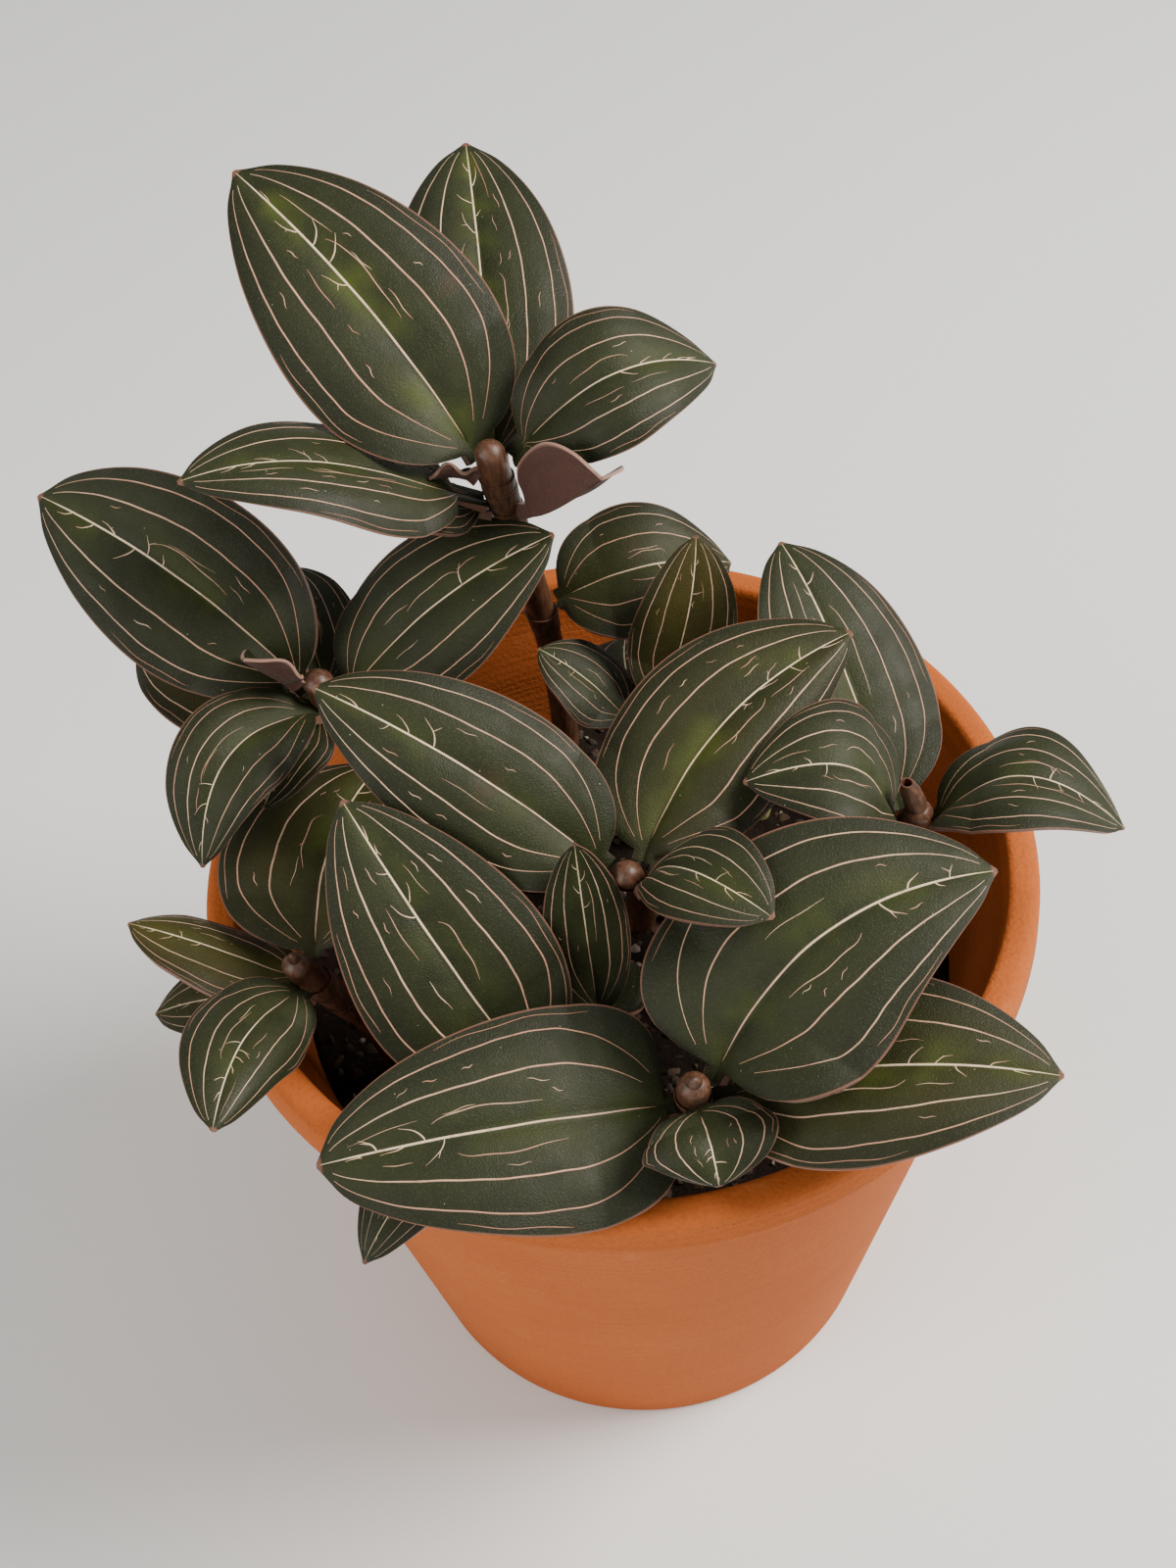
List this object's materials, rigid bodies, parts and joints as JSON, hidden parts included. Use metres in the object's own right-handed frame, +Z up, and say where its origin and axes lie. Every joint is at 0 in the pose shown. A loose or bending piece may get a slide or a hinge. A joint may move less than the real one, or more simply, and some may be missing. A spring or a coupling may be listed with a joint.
{
  "type": "potted jewel orchid",
  "caption": "Low foliage plant with dark, pale-veined leaves on short fleshy stems, growing in a round tapered clay pot filled with soil.",
  "frame": {"origin": "centre of the pot's foot, on the surface it stands on", "axes": "+Z up along the pot's axis; the picture looks along +Y from above; +X is the picture's right"},
  "size_m": [0.1825, 0.1781, 0.2234],
  "materials": {
    "terracotta": "unglazed matte terracotta",
    "soil": "loose dark potting mix",
    "stem": "fleshy reddish-brown stem",
    "leaf": "velvety dark green leaf with pale veins",
    "young_leaf": "soft burgundy young leaf",
    "new_shoot": "pale green shoot"
  },
  "bodies": {
    "root": {"leaf_A1": "leaf", "leaf_A2": "leaf", "leaf_A3": "leaf", "leaf_A4": "leaf", "leaf_A5": "leaf", "leaf_A6": "young_leaf", "leaf_A7": "young_leaf", "leaf_A8": "leaf", "leaf_B1": "leaf", "leaf_B2": "leaf", "leaf_B3": "young_leaf", "leaf_B4": "leaf", "leaf_B5": "leaf", "leaf_B6": "leaf", "leaf_B7": "leaf", "leaf_C1": "leaf", "leaf_C2": "leaf", "leaf_C3": "leaf", "leaf_C4": "leaf", "leaf_D1": "leaf", "leaf_D2": "leaf", "leaf_E1": "leaf", "leaf_E2": "leaf", "leaf_E3": "leaf", "leaf_E4": "leaf", "leaf_F1": "leaf", "leaf_F2": "leaf", "leaf_F3": "leaf", "leaf_G2": "leaf", "leaf_G3": "leaf", "leaf_G4": "leaf", "leaf_H1": "leaf", "leaf_H2": "leaf", "leaf_H3": "leaf", "leaf_K1": "leaf", "leaf_K2": "young_leaf", "new_shoot": "new_shoot", "pot": "terracotta", "soil": "soil", "stem_A": "stem", "stem_B": "stem", "stem_C": "stem", "stem_D": "stem", "stem_E": "stem", "stem_F": "stem", "stem_G": "stem", "stem_H": "stem", "stem_K": "stem"}
  },
  "joints": []
}
